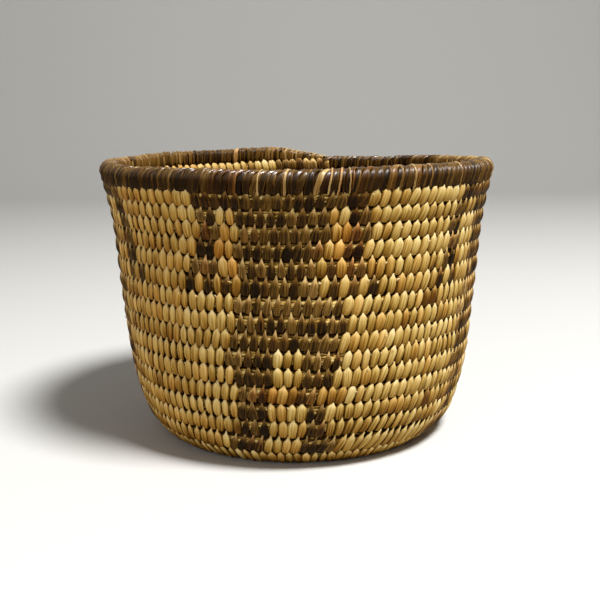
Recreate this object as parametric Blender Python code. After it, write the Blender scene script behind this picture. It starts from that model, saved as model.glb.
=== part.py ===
"""Coiled basket: a bundle coil wound from a knot at the centre of the base, up the wall to the rim.

Metres, +Z up, the origin at the middle of the underside. The front is -Y.
Angles run to the right from the front, so the coil, which climbs to the left, has falling angles.
The coil is counted in turns: turn 0 is the outermost loop of the base, seen at the front.
"""
import math

import bmesh
import bpy
import numpy as np

# Coil sizes
START_PITCH = 0.0040
BASE_PITCH = 0.0052
HEEL_PITCH = 0.0077
WALL_PITCH = 0.0053
TOP_PITCH = 0.0046
RIM_PITCH = 0.0047
COIL_GAP = 0.00045
RIM_RADIUS = 0.00255
RIM_GROOVE = 0.0003
TIP_RADIUS = 0.0009

# Turns at which the coil changes, a half turn being the back
FOOT_TURN = -0.5
RIM_TURN = 15.536
RIM_TURNS = 1.0
RIM_TAPER = 0.05
START_TAPER = 1.0
PITCH_TURNS = (-7.5, -6.3, -1.0, 0.7, 3.6, 9.5, 13.0, 14.5, 15.5)

# Route of the coil's middle line, seen as a section: radius and height
FOOT_CUT = 0.0005
FLAT_RADIUS = 0.0390
WALL_ROUTE = (
    (0.0428, 0.0026),
    (0.0474, 0.0084),
    (0.0503, 0.0152),
    (0.0532, 0.0270),
    (0.0548, 0.0435),
    (0.0562, 0.0620),
    (0.0576, 0.0720),
    (0.0596, 0.0810),
    (0.0608, 0.0870),
    (0.0613, 0.0930),
)

# Start of the coil
KNOT_RADIUS = 0.0040
KNOT_HEIGHT = 0.0048
FIT_GAP = 0.0003

# Dark figures
FIGURE_COUNT = 4
FIGURE_FRONT = math.radians(-4.5)
FIGURE_SPACING = math.radians(77.0)
STITCHES_PER_TURN = 127
SKIN_CLEARANCE = 0.0004
SKIN_THICKNESS = 0.00045
TOP_COURSE = 15

# One figure, course by course from the rim down: dark runs, in stitches from its middle
ARM_TIP, ARM_INNER = 8.0, 6.0
BODY_HALF = 4.0
SKIRT_HALF = 5.5
LEG_INNER = 1.5
LEG_SLIM = 3.5
FOOT_TIP = 8.0
LEG_STEP = 1.0
SHOULDERS = ((-ARM_TIP, ARM_TIP),)
ARMS_AND_BODY = ((-ARM_TIP, -ARM_INNER), (-BODY_HALF, BODY_HALF), (ARM_INNER, ARM_TIP))
SKIRT = ((-SKIRT_HALF, SKIRT_HALF),)
THIGHS = ((-SKIRT_HALF, -LEG_INNER), (LEG_INNER, SKIRT_HALF))
SHINS = ((-SKIRT_HALF, -LEG_INNER - LEG_STEP), (LEG_INNER, LEG_SLIM))
FEET = ((-FOOT_TIP, -LEG_INNER - LEG_STEP), (LEG_INNER, SKIRT_HALF))
FIGURE = [SHOULDERS] + [ARMS_AND_BODY] * 5 + [SKIRT] * 3 + [THIGHS] * 3 + [SHINS] * 2 + [FEET]

# Facets
LOOP_POINTS = 22
INNER_LOOPS = 3
STRETCH_STEP = 3.0

TURN = 2.0 * math.pi
FLAT_SHARE = math.cos(math.pi / 6)

# The base coil's lowest edge is cut away, so its middle line stands this high
BASE_CENTRE_HEIGHT = (BASE_PITCH - COIL_GAP) / 2 / FLAT_SHARE - FOOT_CUT


def remove_everything():
    for item in list(bpy.data.objects):
        bpy.data.objects.remove(item, do_unlink=True)


def material(name, colour, roughness):
    made = bpy.data.materials.new(name)
    made.use_nodes = True
    shader = made.node_tree.nodes["Principled BSDF"]
    shader.inputs["Base Color"].default_value = (*colour, 1.0)
    shader.inputs["Roughness"].default_value = roughness
    return made


def smooth_curve(points, steps=24):
    """Points along a smooth curve through the given ones, which starts level."""
    ends = [2 * points[0] - points[1], *points, 2 * points[-1] - points[-2]]
    out = []
    for a, b, c, d in zip(ends, ends[1:], ends[2:], ends[3:]):
        for u in np.linspace(0.0, 1.0, steps, endpoint=False):
            out.append(0.5 * (2 * b + (c - a) * u + (2 * a - 5 * b + 4 * c - d) * u * u
                              + (3 * b - a - 3 * c + d) * u ** 3))
    out.append(points[-1])
    return np.array(out)


def base_route():
    """The straight run across the flat base, as two points near its outer end."""
    return [np.array((FLAT_RADIUS - BASE_PITCH / 2, BASE_CENTRE_HEIGHT)),
            np.array((FLAT_RADIUS, BASE_CENTRE_HEIGHT))]


ROUTE = smooth_curve(base_route() + [np.array(p) for p in WALL_ROUTE])
ROUTE_LENGTH = np.concatenate(([0.0], np.cumsum(np.linalg.norm(np.diff(ROUTE, axis=0), axis=1))))
FOOT_LENGTH = float(np.interp(WALL_ROUTE[0][0], ROUTE[:, 0], ROUTE_LENGTH))

PITCHES = (START_PITCH, BASE_PITCH, BASE_PITCH, HEEL_PITCH, WALL_PITCH, WALL_PITCH, TOP_PITCH, TOP_PITCH, RIM_PITCH)
TURN_GRID = np.linspace(-10.0, RIM_TURN + RIM_TURNS + 1.0, 4001)
PITCH_GRID = np.interp(TURN_GRID, PITCH_TURNS, PITCHES)
LENGTH_GRID = np.concatenate(([0.0], np.cumsum((PITCH_GRID[1:] + PITCH_GRID[:-1]) / 2
                                               * np.diff(TURN_GRID))))
LENGTH_GRID += FOOT_LENGTH - np.interp(0.0, TURN_GRID, LENGTH_GRID)


def section_point(turns):
    """Radius, height and lean of the coil's middle line; the lean is the wall's, 0 when upright."""
    length = float(np.interp(turns, TURN_GRID, LENGTH_GRID))
    if length <= 0.0:
        return ROUTE[0][0] + length, BASE_CENTRE_HEIGHT, math.pi / 2
    step = 0.0004
    r0, z0 = (np.interp(max(length - step, 0.0), ROUTE_LENGTH, ROUTE[:, k]) for k in (0, 1))
    r1, z1 = (np.interp(length + step, ROUTE_LENGTH, ROUTE[:, k]) for k in (0, 1))
    r, z = (float(np.interp(length, ROUTE_LENGTH, ROUTE[:, k])) for k in (0, 1))
    return r, z, math.atan2(r1 - r0, z1 - z0)


def place(radius, height, angle):
    return np.array((radius * math.sin(angle), -radius * math.cos(angle), height))


def coil_radius(turns):
    """Out to the tube's edges: its flats stop half the gap short of the nearer neighbour's."""
    radius, height, lean = section_point(turns)
    steps = []
    for neighbour in (turns - 1, turns + 1):
        out, up, _ = section_point(neighbour)
        steps.append(abs((out - radius) * math.sin(lean) + (up - height) * math.cos(lean)))
    return (min(steps) - COIL_GAP) / 2 / FLAT_SHARE


def coil_point(turns):
    radius, height, lean = section_point(turns)
    return place(radius, height, -TURN * turns), lean


def start_turn():
    """The turn at which the coil's thin end lies against the knot."""
    turns = TURN_GRID[TURN_GRID < 0]
    reach = [section_point(t)[0] for t in turns]
    return float(np.interp(KNOT_RADIUS + FIT_GAP + TIP_RADIUS, reach, turns))


START_TURN = start_turn()


def add_object(name, data, look):
    made = bpy.data.objects.new(name, data)
    data.materials.append(look)
    bpy.context.collection.objects.link(made)
    return made


def add_tube(name, points, radii, leans, look):
    """One unbroken tube along the points, its six sides turned with the wall's lean."""
    curve = bpy.data.curves.new(name, "CURVE")
    curve.dimensions = "3D"
    curve.twist_mode = "Z_UP"
    curve.bevel_depth = 1.0
    curve.bevel_resolution = 1
    curve.use_fill_caps = True
    spline = curve.splines.new("POLY")
    spline.points.add(len(points) - 1)
    for knot, point, radius, lean in zip(spline.points, points, radii, leans):
        knot.co = (*point, 1.0)
        knot.radius = radius
        knot.tilt = -lean
    guide = bpy.data.objects.new(name + "_guide", curve)
    bpy.context.collection.objects.link(guide)
    solid = guide.evaluated_get(bpy.context.evaluated_depsgraph_get())
    mesh = bpy.data.meshes.new_from_object(solid)
    bpy.data.objects.remove(guide, do_unlink=True)
    return add_object(name, mesh, look)


def joint(turns, step):
    """Middle of the straight stretch where two lengths of coil meet, and its direction."""
    before, after = coil_point(turns - step / 2)[0], coil_point(turns + step / 2)[0]
    return (before + after) / 2, (after - before) / np.linalg.norm(after - before)


def bends(points):
    """How far each step goes round the basket's axis."""
    angles = np.arctan2(points[:, 0], -points[:, 1])
    return (np.diff(angles) + math.pi) % TURN - math.pi


def report_gap(name, points, radii):
    """Least gap of a coil to itself, over all pairs of points more than half a loop apart."""
    points, flats = np.array(points), np.array(radii) * FLAT_SHARE
    least = math.inf
    for index in range(len(points)):
        angle = np.abs(np.cumsum(np.concatenate(([0.0], bends(points[index:])))))
        rest = index + np.nonzero(angle > math.pi)[0]
        if len(rest):
            apart = np.linalg.norm(points[rest] - points[index], axis=1)
            least = min(least, float((apart - flats[rest] - flats[index]).min()))
    print(f"{name}: least gap to itself {least * 1000:.2f} mm")


def add_base_coil(look):
    step = 1.0 / LOOP_POINTS
    count = math.floor((FOOT_TURN - START_TURN) * LOOP_POINTS)
    turns = [FOOT_TURN - step * (k + 0.5) for k in range(count)]
    inner_turn = START_TURN + INNER_LOOPS
    turns = [t for k, t in enumerate(turns) if t > inner_turn or k % 2 == 0][::-1]
    points, leans = zip(*(coil_point(t) for t in turns))
    middle, along = joint(FOOT_TURN, step)
    points = [*points, middle - along * FIT_GAP / 2]
    leans = [*leans, leans[-1]]
    radii = []
    for t in (*turns, FOOT_TURN):
        full = coil_radius(t)
        share = min((t - START_TURN) / START_TAPER, 1.0)
        radii.append(TIP_RADIUS + (full - TIP_RADIUS) * share)
    made = add_tube("base_coil", points, radii, leans, look)
    report_gap("base_coil", points, radii)
    return made


def add_wall_coil(look):
    count = round((RIM_TURN - FOOT_TURN) * LOOP_POINTS)
    step = (RIM_TURN - FOOT_TURN) / count
    turns = [FOOT_TURN + step * (k + 0.5) for k in range(count)]
    points, leans = zip(*(coil_point(t) for t in turns))
    foot, foot_along = joint(FOOT_TURN, step)
    top, top_along = joint(RIM_TURN, step)
    points = [foot + foot_along * FIT_GAP / 2, *points, top - top_along * FIT_GAP / 2]
    leans = [leans[0], *leans, leans[-1]]
    radii = [coil_radius(t) for t in (FOOT_TURN, *turns, RIM_TURN)]
    made = add_tube("wall_coil", points, radii, leans, look)
    report_gap("wall_coil", points, radii)
    return made


def add_rim_coil(look):
    """Last turn, bound in dark splints: each stitch a rib, and a taper where the coil ends."""
    step = 1.0 / LOOP_POINTS
    middle, along = joint(RIM_TURN, step)
    chord_end = coil_point(RIM_TURN + step / 2)[0]
    straight = float(np.linalg.norm(chord_end - middle))
    points, radii, leans = [], [], []
    ribs = round(RIM_TURNS * STITCHES_PER_TURN)
    for index in range(2 * ribs + 1):
        turns = RIM_TURN + RIM_TURNS * index / (2 * ribs)
        point, lean = coil_point(turns)
        share = (turns - RIM_TURN) / (step / 2)
        if share < 1.0:
            point = middle + along * (FIT_GAP / 2 + (straight - FIT_GAP / 2) * share)
        taper = max(0.0, (turns - RIM_TURN - RIM_TURNS + RIM_TAPER) / RIM_TAPER)
        full = RIM_RADIUS + (TIP_RADIUS - RIM_RADIUS) * taper
        point = point - np.array((0.0, 0.0, RIM_RADIUS - full))
        groove = RIM_GROOVE * full / RIM_RADIUS
        points.append(point)
        radii.append(full - groove * (index % 2 == 0))
        leans.append(lean)
    made = add_tube("rim_coil", points, radii, leans, look)
    return made


def ground_cut(target, cutter):
    """Flat underside, so that the basket stands on a face and not on a ridge."""
    cut = target.modifiers.new("ground", "BOOLEAN")
    cut.operation = "DIFFERENCE"
    cut.solver = "EXACT"
    cut.object = cutter


def add_ground_cutter():
    mesh = bpy.data.meshes.new("ground_cutter")
    shape = bmesh.new()
    bmesh.ops.create_cube(shape, size=1.0)
    depth = 0.02
    width = 0.3
    bmesh.ops.scale(shape, vec=(width, width, depth), verts=shape.verts)
    bmesh.ops.translate(shape, vec=(0.0, 0.0, -depth / 2), verts=shape.verts)
    shape.to_mesh(mesh)
    shape.free()
    cutter = bpy.data.objects.new("ground_cutter", mesh)
    cutter.hide_render = True
    cutter.display_type = "WIRE"
    bpy.context.collection.objects.link(cutter)
    return cutter


def add_start_knot(look):
    mesh = bpy.data.meshes.new("start_knot")
    shape = bmesh.new()
    bmesh.ops.create_uvsphere(shape, u_segments=12, v_segments=8, radius=KNOT_RADIUS)
    bmesh.ops.scale(shape, vec=(1.0, 1.0, KNOT_HEIGHT / 2 / KNOT_RADIUS), verts=shape.verts)
    bmesh.ops.translate(shape, vec=(0.0, 0.0, BASE_CENTRE_HEIGHT), verts=shape.verts)
    shape.to_mesh(mesh)
    shape.free()
    mesh.shade_smooth()
    return add_object("start_knot", mesh, look)


def skin_point(course, stitch, middle_angle, offset):
    """A point over the coil: the course number, with halves at the creases, and stitches across."""
    angle = middle_angle + stitch * TURN / STITCHES_PER_TURN
    radius, height, lean = section_point(course - angle / TURN)
    return place(radius + offset * math.cos(lean), height - offset * math.sin(lean), angle)


def figure_columns():
    """Edges of every dark run, with more lines where a run is wide, so that it bends with the wall."""
    edges = sorted({edge for runs in FIGURE for run in runs for edge in run})
    lines = [edges[0]]
    for edge in edges[1:]:
        parts = math.ceil((edge - lines[-1]) / STRETCH_STEP)
        lines += list(np.linspace(lines[-1], edge, parts + 1)[1:])
    return lines


def figure_offsets(course, middle_angle):
    """How far the skin's inner and outer faces stand off the coil's middle, at a ridge or a crease."""
    turns = course - middle_angle / TURN
    pitch = float(np.interp(turns, TURN_GRID, PITCH_GRID))
    bend = max(section_point(turns - 0.5)[2] - section_point(turns + 0.5)[2], 0.0) / 2
    ridge = coil_radius(turns) + SKIN_CLEARANCE / FLAT_SHARE
    crease = ridge + pitch / 2 * (math.tan(bend) - math.tan(math.pi / 6))
    return ridge, crease, SKIN_THICKNESS / FLAT_SHARE


def add_figure(name, middle_angle, look):
    """The dark stitches of one figure, a skin over the courses that folds in at each crease."""
    columns = figure_columns()
    shape = bmesh.new()
    made = {}

    def corner(half_courses, column, outer):
        key = (half_courses, column, outer)
        if key not in made:
            course = TOP_COURSE + 0.5 - half_courses / 2
            ridge, crease, thickness = figure_offsets(course, middle_angle)
            offset = (crease if half_courses % 2 == 0 else ridge) + thickness * outer
            made[key] = shape.verts.new(skin_point(course, columns[column], middle_angle, offset))
        return made[key]

    cells = set()
    for row, runs in enumerate(FIGURE):
        for left, right in runs:
            for column in range(len(columns) - 1):
                if left - 1e-6 <= columns[column] and columns[column + 1] <= right + 1e-6:
                    cells.update({(2 * row, column), (2 * row + 1, column)})
    for row, column in cells:
        square = [(row, column), (row + 1, column), (row + 1, column + 1), (row, column + 1)]
        sides = [(row, column - 1), (row + 1, column), (row, column + 1), (row - 1, column)]
        shape.faces.new([corner(*p, 1) for p in square])
        shape.faces.new([corner(*p, 0) for p in reversed(square)])
        for index, neighbour in enumerate(sides):
            if neighbour not in cells:
                a, b = square[index], square[(index + 1) % 4]
                shape.faces.new([corner(*a, 0), corner(*b, 0), corner(*b, 1), corner(*a, 1)])
    mesh = bpy.data.meshes.new(name)
    bmesh.ops.recalc_face_normals(shape, faces=shape.faces)
    shape.to_mesh(mesh)
    shape.free()
    return add_object(name, mesh, look)


def figure_angles():
    """Three figures stand at the measured spacing; the others share what is left behind them."""
    spread = [-FIGURE_SPACING, 0.0, FIGURE_SPACING]
    left_over = TURN - 2 * FIGURE_SPACING
    others = FIGURE_COUNT - len(spread)
    spread += [FIGURE_SPACING + left_over * (k + 1) / (others + 1) for k in range(others)]
    angles = [FIGURE_FRONT + angle for angle in spread]
    return [angle - TURN if angle > math.pi else angle for angle in angles]


def main():
    remove_everything()
    grass = material("sewn grass coil", (0.52, 0.34, 0.13), 0.6)
    knot = material("plaited start", (0.42, 0.27, 0.11), 0.7)
    dark = material("dark splints", (0.035, 0.024, 0.016), 0.45)
    cutter = add_ground_cutter()
    for piece in (add_start_knot(knot), add_base_coil(grass), add_wall_coil(grass)):
        ground_cut(piece, cutter)
    add_rim_coil(dark)
    for number, angle in enumerate(figure_angles(), start=1):
        add_figure(f"figure_{number}", angle, dark)


main()
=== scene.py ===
"""Looks for a coiled basket, built round its packed coil: a grass bundle wound from a knot to the rim,
sewn with pale willow splints, with dark seed-pod splints for the figures and the rim binding.

The coil is counted in turns, as in the part's source: turn 0 is the outermost loop of the base, at the
front, and angles run to the right from the front, so that the coil climbs to the left.
"""
import math

import bpy
import numpy as np
from mathutils import Matrix, Vector


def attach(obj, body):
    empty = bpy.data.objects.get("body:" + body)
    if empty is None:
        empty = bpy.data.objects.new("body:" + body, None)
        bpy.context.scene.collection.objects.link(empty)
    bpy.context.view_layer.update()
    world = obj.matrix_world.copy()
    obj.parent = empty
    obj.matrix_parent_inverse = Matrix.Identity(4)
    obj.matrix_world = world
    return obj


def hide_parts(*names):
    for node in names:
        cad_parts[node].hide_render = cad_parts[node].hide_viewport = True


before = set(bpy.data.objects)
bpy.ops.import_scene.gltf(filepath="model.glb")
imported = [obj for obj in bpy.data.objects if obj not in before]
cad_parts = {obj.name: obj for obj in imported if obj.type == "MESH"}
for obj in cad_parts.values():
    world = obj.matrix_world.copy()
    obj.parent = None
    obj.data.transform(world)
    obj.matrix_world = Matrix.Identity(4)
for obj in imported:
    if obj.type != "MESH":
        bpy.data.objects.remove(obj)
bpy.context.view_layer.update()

MM = 0.001
TURN = 2.0 * math.pi

# Spacing of the coil's turns, and where along the coil it changes
PITCH_TURNS = (-8.5, -7.3, -1.0, 0.6, 1.9, 9.5, 11.2, 13.0, 14.0, 15.5)
PITCHES = tuple(pitch * MM for pitch in (4.0, 5.2, 5.2, 6.4, 5.3, 5.33, 5.25, 4.85, 4.6, 4.7))
COIL_GAP = 0.45 * MM
FLAT_SHARE = math.cos(math.pi / 6)
FOOT_TURN = -0.5
RIM_TURN = 15.536
RIM_TURN_HEIGHT = 83.66 * MM
RIM_FRONT_TURN = 16.0
RIM_END = 16.536
RIM_TAPER = 0.05
RIM_THINNING = 0.66
RIM_RADIUS = 2.55 * MM
START_RADIUS = 1.5 * MM

# Section of the wall, as radius and height of the coil's middle line in mm
FLAT_RADIUS = 39.0 * MM
BASE_HEIGHT = 2.24 * MM
WALL_ROUTE = (
    (42.8, 2.6), (47.8, 8.2), (50.7, 15.1), (53.2, 27.0), (54.8, 43.5),
    (56.2, 62.0), (57.6, 72.0), (59.6, 81.0), (60.8, 87.0), (61.3, 93.0),
)
CURVE_STEPS = 24
GRID_START = -10.0
GRID_POINTS = 8001

# How the last turn lies, in mm: lifted on the right, and pressed down on the left, where it was
# pulled tighter. The turns below it follow by these shares.
RIM_LIE_TURNS = (15.45, 15.60, 15.72, 15.85, 16.00, 16.23, 16.36, 16.45, 16.50, 16.54)
RIM_LIE = (0.0, 0.0, 0.95, 0.50, 0.0, -0.90, -0.30, -0.30, -0.80, -1.20)
LIE_BELOW = ((0, 1.0), (1, 0.5), (2, 0.2))

# Waves of a hand-made wall: size in mm, waves in a turn, change with height and phase in radians
RISE_WAVES = ((0.22, 3.0, 55.0, 0.6), (0.16, 7.0, -90.0, 0.0))
OUT_WAVES = ((0.25, 2.0, 40.0, 2.1), (0.12, 9.0, 120.0, 0.0))
WAVES_FROM = 6.0 * MM
WAVES_FADE = 10.0 * MM

# Bundle: points of its route in a turn, from the knot to the turns given; its thickness, as shares of
# half a pitch and of the bulge; and how it thins at its two ends
ROUTE_TURNS = (0.0, 2.0)
ROUTE_COUNTS = (40.0, 84.0, 100.0)
PITCH_FILL = 0.95
BULGE_FILL = 0.88
RIM_FILL = 0.88
RIM_FILL_LEAD = 0.01
END_THINNING = 0.6
END_THINNING_LEAD = 0.09
END_THINNING_TURNS = 0.05
KNOT_THICKNESS = 0.45
KNOT_TURNS = 0.8
BUNDLE_CLEARANCE = 0.15 * MM
OUTER_STEMS = 13
STEM_GROOVE = 0.055

# Sewing: stitches in a turn at the foot of the wall and further up, and between which turns they change
SEWING_TURNS = (2.5, 6.0)
SEWING_STITCHES = (121.72, 126.72)
RIM_STITCHES = 190.0
STITCH_SHIFT = -0.362
BASE_STITCH = 2.4 * MM
BASE_MIDDLE = 1.0 * MM
SPLIT_ENDS = 120
SPLIT_ENDS_FROM = 2.0
OWN_NUMBERS = 40.0
STITCH_ANGLE = math.radians(2.83)
HALFWAY = 7.5

# Where the courses are widest, the stitches reach further over the one below, up to this share
LONG_STITCH = 0.09
LONG_FROM = 2.7 * MM
LONG_FADE = 0.2

# Past this lean in radians the coil lies flat on the base, where the stitches bulge no more than this
BASE_LEAN = 1.2
BASE_BULGE = 2.1 * MM

# How even the sewer's hand is, in the sewing tree's own inputs
WALL_HAND = {
    "Lean": math.radians(-7.0), "Lean spread": math.radians(6.0), "Width spread": 0.17,
    "Length spread": 0.09, "Unevenness": 0.35 * MM, "Ground": 0.03 * MM,
}
BASE_HAND = {
    "Lean": math.radians(-7.0), "Lean spread": math.radians(3.0), "Width spread": 0.08,
    "Length spread": 0.04, "Unevenness": 0.2 * MM, "Ground": 0.03 * MM,
}
SPLIT_HAND = {
    "Lean": 0.0, "Lean spread": math.radians(60.0), "Width spread": 0.4,
    "Length spread": 0.25, "Unevenness": 0.3 * MM, "Ground": 0.0,
}
RIM_HAND = {
    "Lean": 0.0, "Lean spread": math.radians(5.0), "Width spread": 0.1,
    "Length spread": 0.03, "Unevenness": 0.22 * MM, "Ground": 0.0,
}
UNEVEN_STEP = 1.6 * MM

# Extra lean in degrees, by the angle from the front; below zero the tips go to the right
SWAY_ANGLES = (-180.0, -60.0, -8.0, 10.0, 26.0, 80.0, 180.0)
SWAYS = (0.0, 2.0, 1.0, -2.0, -8.0, -7.0, 0.0)
FOOT_SWAY = 7.0
FOOT_SWAY_TURN = 3.5
FOOT_SWAY_FADE = 3.0
BASE_SWAY = 5.0
BASE_SWAY_TURN = 0.5
SWAY_WAVES = ((3.5, 8.7, 1.0), (2.0, 23.0, 0.0))

# Figures, by the angle of their middles; the stitches are closer there, by this share
FIGURE_FRONT = math.radians(-4.455)
FIGURE_SPACING = math.radians(77.0)
FIGURE_COUNT = 4
FRONT_FIGURE_NUMBER = 1
FIGURE_CLOSER = 0.07
FIGURE_CLOSER_TURNS = (8.0, 10.0)
TOP_COURSE = 15

# Tones, from 0, dark, to 1, pale: the light stitches' own, and steps from it. Pairs of tones here and
# below are a middle and a spread.
WILLOW_TONE = 0.57
WILLOW_SPREAD = 0.065
# Painted shade: the foot step darkens the light stitches in the lowest turns of the wall.
FOOT_SHADE = 0.14
FOOT_SHADE_TURN = 4.0
BUNCH_STEP = 0.06
BUNCH_PACE = 2.3
BUNCH_SWING = 1.9
BROWNER_CHANCE = 0.03
BROWNER_STEP = 0.18
PALER_CHANCE = 0.95
PALER_STEP = 0.09
TONE_LIMITS = (0.05, 0.95)
BASE_TONES = (0.45, 0.12)
SPLIT_TONE = 0.8

# Tones of the dark stitches, and what a run's brown does to their tone and width
FIGURE_TONES = (0.29, 0.12)
BROWN_LIFT = 0.65
BROWN_NARROWING = 0.55
FEET_STEP = 0.12
FEET_STEP_TURN = 3.4

# One short run of reddish light stitches at the right, and one of brown ones by the front figure's legs
RED_COURSE = 9
RED_ANGLES = (37.0, 45.0)
RED_TONE = 0.2
BROWN_COURSE = 4
BROWN_ANGLES = (-16.0, 14.0)
BROWN_STEP = 0.17
BROWN_RUSSET = 0.5

# Russet splints, by chance, as rise, start and most of their share: a few all over, and more by the
# front figure's arms, which are this many degrees from its middle
RUSSET_FEW = (1.7, 1.2, 0.45)
RUSSET_ARMS = (1.6, 0.3, 1.0)
ARMS_RUSSET = 0.9
ARMS_ANGLE = 16.0
ARMS_FADE = 5.0
ARMS_FULL = 1.6
ARMS_FROM = 9.6

# Rim binding: spreads of the wide splints and of the thin ones between them, in binding stitches
THIN_SHIFTS = (0.3, 0.7)
WIDE_WIDTHS = (0.92, 1.2)
THIN_WIDTHS = (0.25, 0.5)
THIN_REACHES = (0.97, 1.05)
WIDE_TONES = (0.0, 0.09)
THIN_TONES = (0.16, 0.10)
ODD_REACH = 1.06

# Odd splints on the dark ones: angle in degrees, width in binding stitches and tone
ODD_BINDING = (
    (-9.4, 0.35, 0.95), (-2.9, 0.42, 0.85), (5.4, 1.00, 0.75), (8.1, 0.28, 0.90), (10.5, 0.30, 0.90),
    (13.0, 0.25, 0.85), (26.7, 0.45, 0.60), (30.7, 0.28, 0.85), (47.9, 0.35, 0.75),
    (-160.0, 0.90, 0.85), (-178.0, 0.60, 0.80), (-188.1, 0.50, 0.80), (-190.7, 0.50, 0.80),
)

# Tone of the binding by the angle from the front: paler at the right, at the left of the back and at the
# back
BINDING_SHADE_ANGLES = (
    -180.0, -172.0, -160.0, -146.0, -140.0, -100.0, -86.0, -60.0,
    55.0, 70.0, 85.0, 95.0, 112.0, 122.0, 163.0, 168.0, 180.0,
)
BINDING_SHADES = (
    0.50, 0.50, 0.24, 0.20, 0.45, 0.45, 0.32, 0.24,
    0.24, 0.37, 0.49, 0.56, 0.56, 0.24, 0.24, 0.50, 0.50,
)

# Materials: fibres across a splint about 3.1 mm wide, and noise steps along it. The fibres are about
# 0.3 mm, a little coarser than real ones, so that they show. Each splint's own number moves its fibres
# on by a number of steps. A grass stem is about 0.6 mm wide, with a step every 3 mm of its length, and
# the painted shade in the bundle's creases reaches further round one crease than round the other, by
# the shift.
WILLOW_FIBRES = 10.0
SEED_POD_FIBRES = 9.0
FIBRE_LENGTHS = 3.0
OWN_FIBRES = 7.31
GRASS_ROUND = 24.0
GRASS_PER_METRE = 320.0
CREASE_SHIFT = 0.14
LEFT_CAST_FULL = -45.0 * MM
LEFT_CAST_NONE = -15.0 * MM
WILLOW_COLOURS = (
    (0.0, "#583606"), (0.25, "#946E29"), (0.5, "#C0A058"), (0.75, "#DCC282"), (1.0, "#EBDAAE"))
SEED_POD_COLOURS = (
    (0.0, "#190F03"), (0.22, "#382309"), (0.48, "#684A19"), (0.72, "#906D3A"), (0.95, "#D4B374"))
GRASS_COLOURS = (
    (0.12, "#140B04"), (0.38, "#4A300F"), (0.45, "#AA7F32"), (0.51, "#DFB45B"), (0.60, "#F6D88E"))

# Casts, as the factors by which they change a colour's red, green and blue
LEFT_SIDE_CAST = (1.07, 0.96, 0.81)
WILLOW_RUSSET = (1.05, 0.80, 0.56)
SEED_POD_RUSSET = (1.15, 0.84, 0.76)

# Stage, in metres and watts
PAPER_COLOUR = "#DDDCD8"
PAPER_FRONT = -2.0
PAPER_REACH = 0.9
PAPER_BEND = 0.5
PAPER_TOP = 1.6
PAPER_HALF_WIDTH = 2.2
BEND_STEPS = 12
AIM = (0.0, 0.0, 45 * MM)
KEY_PLACE = (0.36, -0.34, 0.98)
KEY_SIZE = 0.30
KEY_POWER = 17.0
FILL_PLACE = (-0.85, -0.9, 0.5)
FILL_SIZE = 0.9
FILL_POWER = 2.3
ROOM_COLOUR = "#F4F2EE"
ROOM_STRENGTH = 0.17
CAMERA_PLACE = (0.0, -300.0 * MM, 101.8 * MM)
CAMERA_TIP = math.radians(90.0 - 11.45)
CAMERA_ROLL = math.radians(-0.83)
CAMERA_LENS = 54.05
CAMERA_SENSOR = 36.0
CAMERA_SHIFT = 0.0023

SEWER_SEED = 17
random = np.random.default_rng(SEWER_SEED)


# Route of the coil

def smooth_curve(points):
    """Points along a smooth curve through the given ones, which starts level."""
    ends = [2 * points[0] - points[1], *points, 2 * points[-1] - points[-2]]
    out = []
    for a, b, c, d in zip(ends, ends[1:], ends[2:], ends[3:]):
        for u in np.linspace(0.0, 1.0, CURVE_STEPS, endpoint=False):
            out.append(0.5 * (2 * b + (c - a) * u + (2 * a - 5 * b + 4 * c - d) * u * u
                              + (3 * b - a - 3 * c + d) * u ** 3))
    out.append(points[-1])
    return np.array(out)


BASE_PITCH = PITCHES[1]
ROUTE = smooth_curve(
    [np.array((FLAT_RADIUS - BASE_PITCH / 2, BASE_HEIGHT)), np.array((FLAT_RADIUS, BASE_HEIGHT))]
    + [np.array(corner) * MM for corner in WALL_ROUTE]
)
ROUTE_LENGTH = np.concatenate(([0.0], np.cumsum(np.linalg.norm(np.diff(ROUTE, axis=0), axis=1))))
TURN_GRID = np.linspace(GRID_START, RIM_END + 1.0, GRID_POINTS)


def running_total(values, at):
    """Sum of the values along the turns, counted from the given turn."""
    total = np.concatenate(([0.0], np.cumsum((values[1:] + values[:-1]) / 2 * np.diff(TURN_GRID))))
    return total - np.interp(at, TURN_GRID, total)


PITCH_GRID = np.interp(TURN_GRID, PITCH_TURNS, PITCHES)
LENGTH_GRID = (running_total(PITCH_GRID, RIM_TURN)
               + np.interp(RIM_TURN_HEIGHT, ROUTE[:, 1], ROUTE_LENGTH))


def section(turns):
    """Radius, height and lean of the coil's middle line at these turns."""
    length = np.interp(turns, TURN_GRID, LENGTH_GRID)
    step = 0.4 * MM
    before, here, after = (
        [np.interp(np.maximum(length + shift, 0.0), ROUTE_LENGTH, ROUTE[:, k]) for k in (0, 1)]
        for shift in (-step, 0.0, step)
    )
    flat = length <= 0.0
    radius = np.where(flat, ROUTE[0][0] + length, here[0])
    height = np.where(flat, BASE_HEIGHT, here[1])
    lean = np.where(flat, math.pi / 2, np.arctan2(after[0] - before[0], after[1] - before[1]))
    return radius, height, lean


def rim_share(turns):
    """The coil thins to a point over the end of the last turn."""
    return 1.0 - RIM_THINNING * np.clip((turns - RIM_END + RIM_TAPER) / RIM_TAPER, 0.0, 1.0)


def bulge(turns):
    """How far the coil stands out from its middle line, across the wall."""
    radius, height, lean = section(turns)
    steps = []
    for side in (-1.0, 1.0):
        out, up, _ = section(turns + side)
        steps.append(np.abs((out - radius) * np.sin(lean) + (up - height) * np.cos(lean)))
    wall = (np.minimum(*steps) - COIL_GAP) / 2 / FLAT_SHARE
    return np.where(turns > RIM_TURN, RIM_RADIUS * rim_share(turns), wall)


def lie(turns):
    """How far these turns are lifted: the ones under the last turn follow it, less and less."""
    return sum(share * np.interp(turns + below, RIM_LIE_TURNS, RIM_LIE, left=0.0, right=0.0)
               for below, share in LIE_BELOW) * MM


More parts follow.
